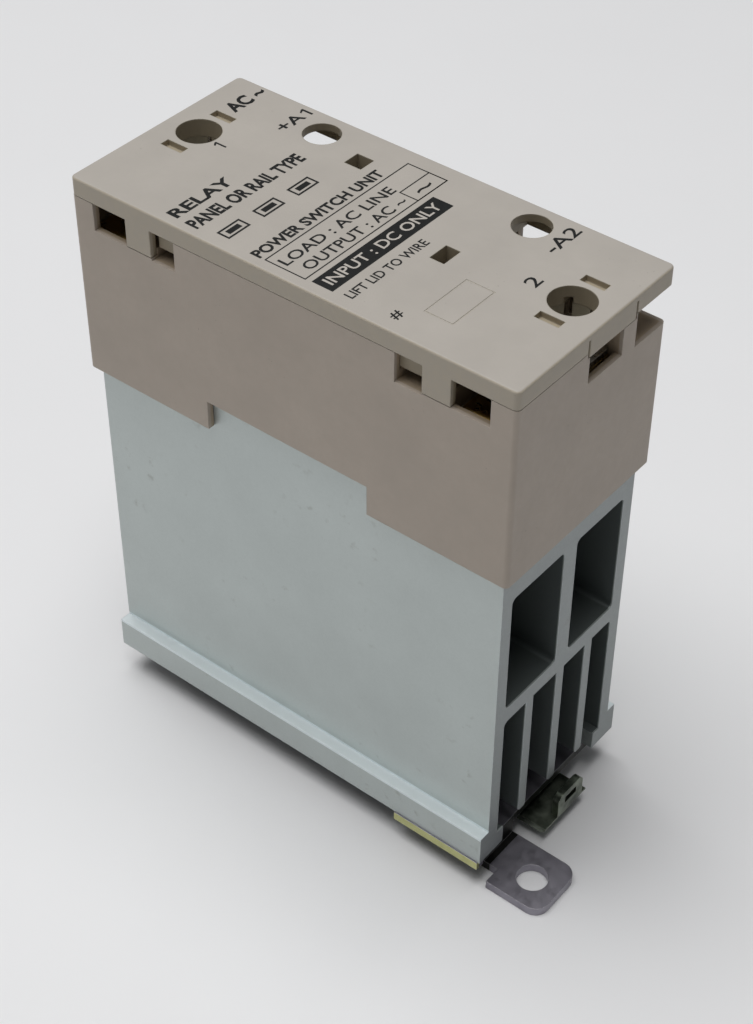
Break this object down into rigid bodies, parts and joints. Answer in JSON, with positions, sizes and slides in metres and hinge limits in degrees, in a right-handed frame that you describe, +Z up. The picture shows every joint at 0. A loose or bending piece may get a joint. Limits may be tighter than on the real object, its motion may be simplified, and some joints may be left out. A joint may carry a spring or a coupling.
{
  "type": "solid state relay",
  "caption": "Compact power relay with built-in finned heat sink, moulded terminal housing under a push-fit lid, and a folded steel base for rail or screw mounting.",
  "frame": {"origin": "middle of the footprint, on the plane the relay stands on", "axes": "+Z up towards the lid, +X along the length towards load terminal 2, -Y towards the side whose tab is at +X"},
  "size_m": [0.1, 0.0386, 0.1],
  "materials": {
    "housing_resin": "moulded, fine spark-eroded texture",
    "cover_resin": "moulded, fine spark-eroded texture",
    "extruded_aluminium": "extruded and alumite treated, satin",
    "zinc_plated_steel": "sheared and folded sheet, zinc plated",
    "latch_steel": "spring steel, passivated",
    "spring_wire": "drawn wire",
    "machine_screw_steel": "cold headed, nickel plated",
    "terminal_brass": "stamped",
    "base_copper": "stamped, tinned edges",
    "thermal_pad": "silicone sheet",
    "ceramic": "sintered",
    "silicon_chip": "passivated",
    "black_resin": "moulded",
    "board_laminate": "glass epoxy with solder mask",
    "capacitor_film": "dipped box",
    "capacitor_can": "sleeved can",
    "varistor_coat": "epoxy dipped",
    "resistor_body": "lacquered",
    "led_epoxy": "cast epoxy",
    "clear_pipe": "moulded clear resin"
  },
  "bodies": {
    "relay": {"housing": "housing_resin", "heat_sink": "extruded_aluminium", "mounting_bracket": "zinc_plated_steel", "bracket_screws": "machine_screw_steel", "latch_spring": "spring_wire", "housing_screws": "machine_screw_steel", "thermal_sheet": "thermal_pad", "module_base_plate": "base_copper", "module_screws": "machine_screw_steel", "ceramic_substrate": "ceramic", "thyristor_chips": "silicon_chip", "module_case": "black_resin", "module_posts": "terminal_brass", "gate_pins": "terminal_brass", "bar_screws": "machine_screw_steel", "circuit_board": "board_laminate", "board_screws": "machine_screw_steel", "photocoupler": "black_resin", "snubber_capacitor": "capacitor_film", "filter_capacitor": "capacitor_can", "varistor": "varistor_coat", "resistors": "resistor_body", "indicator_led": "led_epoxy", "light_pipe": "clear_pipe", "load_nuts": "machine_screw_steel", "input_nuts": "machine_screw_steel", "load_bar_1": "terminal_brass", "load_bar_2": "terminal_brass", "input_plate_a1": "terminal_brass", "input_plate_a2": "terminal_brass"},
    "cover": {"terminal_cover": "cover_resin"},
    "rail_latch": {"din_latch": "latch_steel"},
    "load_washer_1_body": {"load_washer_1": "zinc_plated_steel"},
    "load_screw_1_body": {"load_screw_1": "machine_screw_steel"},
    "load_washer_2_body": {"load_washer_2": "zinc_plated_steel"},
    "load_screw_2_body": {"load_screw_2": "machine_screw_steel"},
    "input_washer_a1_body": {"input_washer_a1": "machine_screw_steel"},
    "input_screw_a1_body": {"input_screw_a1": "machine_screw_steel"},
    "input_washer_a2_body": {"input_washer_a2": "machine_screw_steel"},
    "input_screw_a2_body": {"input_screw_a2": "machine_screw_steel"}
  },
  "joints": [
    {"name": "cover_lift", "type": "slide", "parent": "relay", "child": "cover", "axis": [0, 0, 1], "range_m": [0, 0.015]},
    {"name": "latch_slide", "type": "slide", "parent": "relay", "child": "rail_latch", "axis": [1, 0, 0], "range_m": [0, 0.005], "stiffness_N_per_m": 2500, "springref_m": -0.002, "deforming": ["latch_spring"]},
    {"name": "load_clamp_1_lift", "type": "slide", "parent": "relay", "child": "load_washer_1_body", "axis": [0, 0, 1], "range_m": [0, 0.0021]},
    {"name": "load_screw_1_turn", "type": "hinge", "parent": "load_washer_1_body", "child": "load_screw_1_body", "pos_m": [-0.0338, 0.00245, 0.094], "axis": [0, 0, 1], "range_deg": [0, 1090]},
    {"name": "load_clamp_2_lift", "type": "slide", "parent": "relay", "child": "load_washer_2_body", "axis": [0, 0, 1], "range_m": [0, 0.0021]},
    {"name": "load_screw_2_turn", "type": "hinge", "parent": "load_washer_2_body", "child": "load_screw_2_body", "pos_m": [0.0338, 0.00245, 0.094], "axis": [0, 0, 1], "range_deg": [0, 1090]},
    {"name": "input_clamp_a1_lift", "type": "slide", "parent": "relay", "child": "input_washer_a1_body", "axis": [0, 0, 1], "range_m": [0, 0.0018]},
    {"name": "input_screw_a1_turn", "type": "hinge", "parent": "input_washer_a1_body", "child": "input_screw_a1_body", "pos_m": [-0.0192, 0.0135, 0.094], "axis": [0, 0, 1], "range_deg": [0, 1090]},
    {"name": "input_clamp_a2_lift", "type": "slide", "parent": "relay", "child": "input_washer_a2_body", "axis": [0, 0, 1], "range_m": [0, 0.0018]},
    {"name": "input_screw_a2_turn", "type": "hinge", "parent": "input_washer_a2_body", "child": "input_screw_a2_body", "pos_m": [0.0192, 0.0135, 0.094], "axis": [0, 0, 1], "range_deg": [0, 1090]}
  ],
  "couplings": [
    {"joint": "load_screw_1_turn", "follows": "load_clamp_1_lift", "rad_per_m": 8976},
    {"joint": "load_screw_2_turn", "follows": "load_clamp_2_lift", "rad_per_m": 8976},
    {"joint": "input_screw_a1_turn", "follows": "input_clamp_a1_lift", "rad_per_m": 10472},
    {"joint": "input_screw_a2_turn", "follows": "input_clamp_a2_lift", "rad_per_m": 10472}
  ]
}
